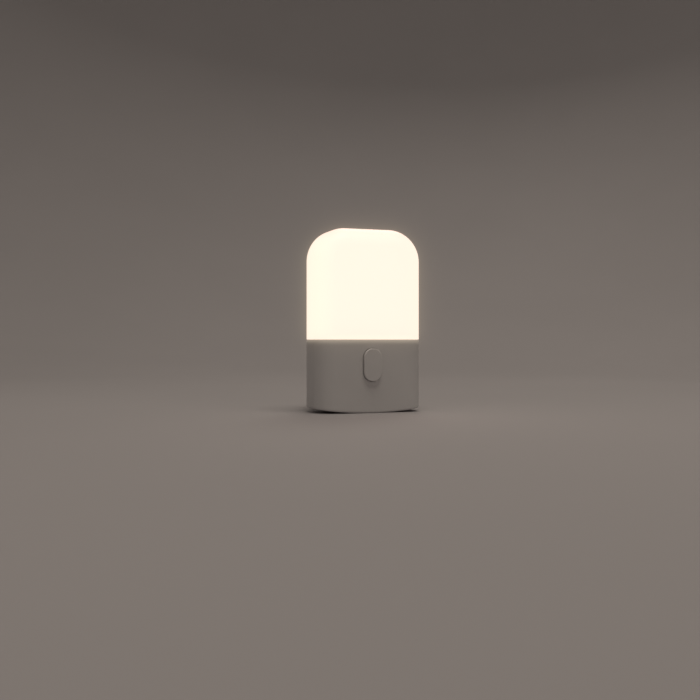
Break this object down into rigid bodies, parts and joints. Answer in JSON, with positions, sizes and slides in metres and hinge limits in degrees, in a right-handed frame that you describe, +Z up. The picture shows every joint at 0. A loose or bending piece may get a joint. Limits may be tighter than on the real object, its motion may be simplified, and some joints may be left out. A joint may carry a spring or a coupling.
{
  "type": "plug-in night light",
  "caption": "Flat night light that plugs into a wall socket, with a frosted glowing cap over an opaque base and a push button.",
  "frame": {"origin": "centre of the plug's end face, midway between the two contact pins", "axes": "+X to the right as seen from the room, +Y into the wall along the pins, +Z up"},
  "size_m": [0.05, 0.06, 0.082],
  "materials": {
    "frosted_cap": "satin, frosted, lit from inside",
    "housing": "fine matte",
    "button": "satin",
    "cover": "fine matte",
    "pin_metal": "nickel plated, brushed along the pin",
    "sleeve": "satin",
    "inner_plastic": "satin",
    "screw_steel": "zinc plated",
    "tag_brass": "bare",
    "lead_brown": "satin",
    "lead_blue": "satin",
    "lead_red": "satin",
    "lead_black": "satin",
    "board": "solder mask",
    "film_capacitor": "moulded box",
    "capacitor_can": "sleeved can",
    "resistor": "lacquered",
    "shrink_sleeve": "heat shrink",
    "black_package": "moulded",
    "switch_steel": "tin plated",
    "white_board": "white solder mask",
    "led": "phosphor",
    "white_film": "matte white"
  },
  "bodies": {
    "body": {"diffuser": "frosted_cap", "front_housing": "housing", "back_cover": "cover", "cover_screws": "screw_steel", "pin_left": "pin_metal", "pin_right": "pin_metal", "pin_sleeve_left": "sleeve", "pin_sleeve_right": "sleeve", "pin_retainer": "inner_plastic", "retainer_screw": "screw_steel", "pin_tag_left": "tag_brass", "pin_tag_right": "tag_brass", "live_lead": "lead_brown", "neutral_lead": "lead_blue", "led_lead_positive": "lead_red", "led_lead_negative": "lead_black", "driver_board": "board", "driver_screws": "screw_steel", "dropper_capacitor": "film_capacitor", "smoothing_capacitor": "capacitor_can", "fuse_resistor": "resistor", "fuse_sleeve": "shrink_sleeve", "bridge_rectifier": "black_package", "driver_chip": "black_package", "chip_resistors": "black_package", "switch_base": "black_package", "switch_frame": "switch_steel", "switch_dome": "switch_steel", "switch_terminals": "switch_steel", "led_board": "white_board", "leds": "led", "reflector_sheet": "white_film", "led_board_screws": "screw_steel"},
    "button": {"button_cap": "button", "switch_plunger": "inner_plastic"}
  },
  "joints": [
    {"name": "button_press", "type": "slide", "parent": "body", "child": "button", "axis": [0, 1, 0], "range_m": [0, 0.0006], "stiffness_N_per_m": 2500, "deforming": ["switch_dome"]}
  ]
}
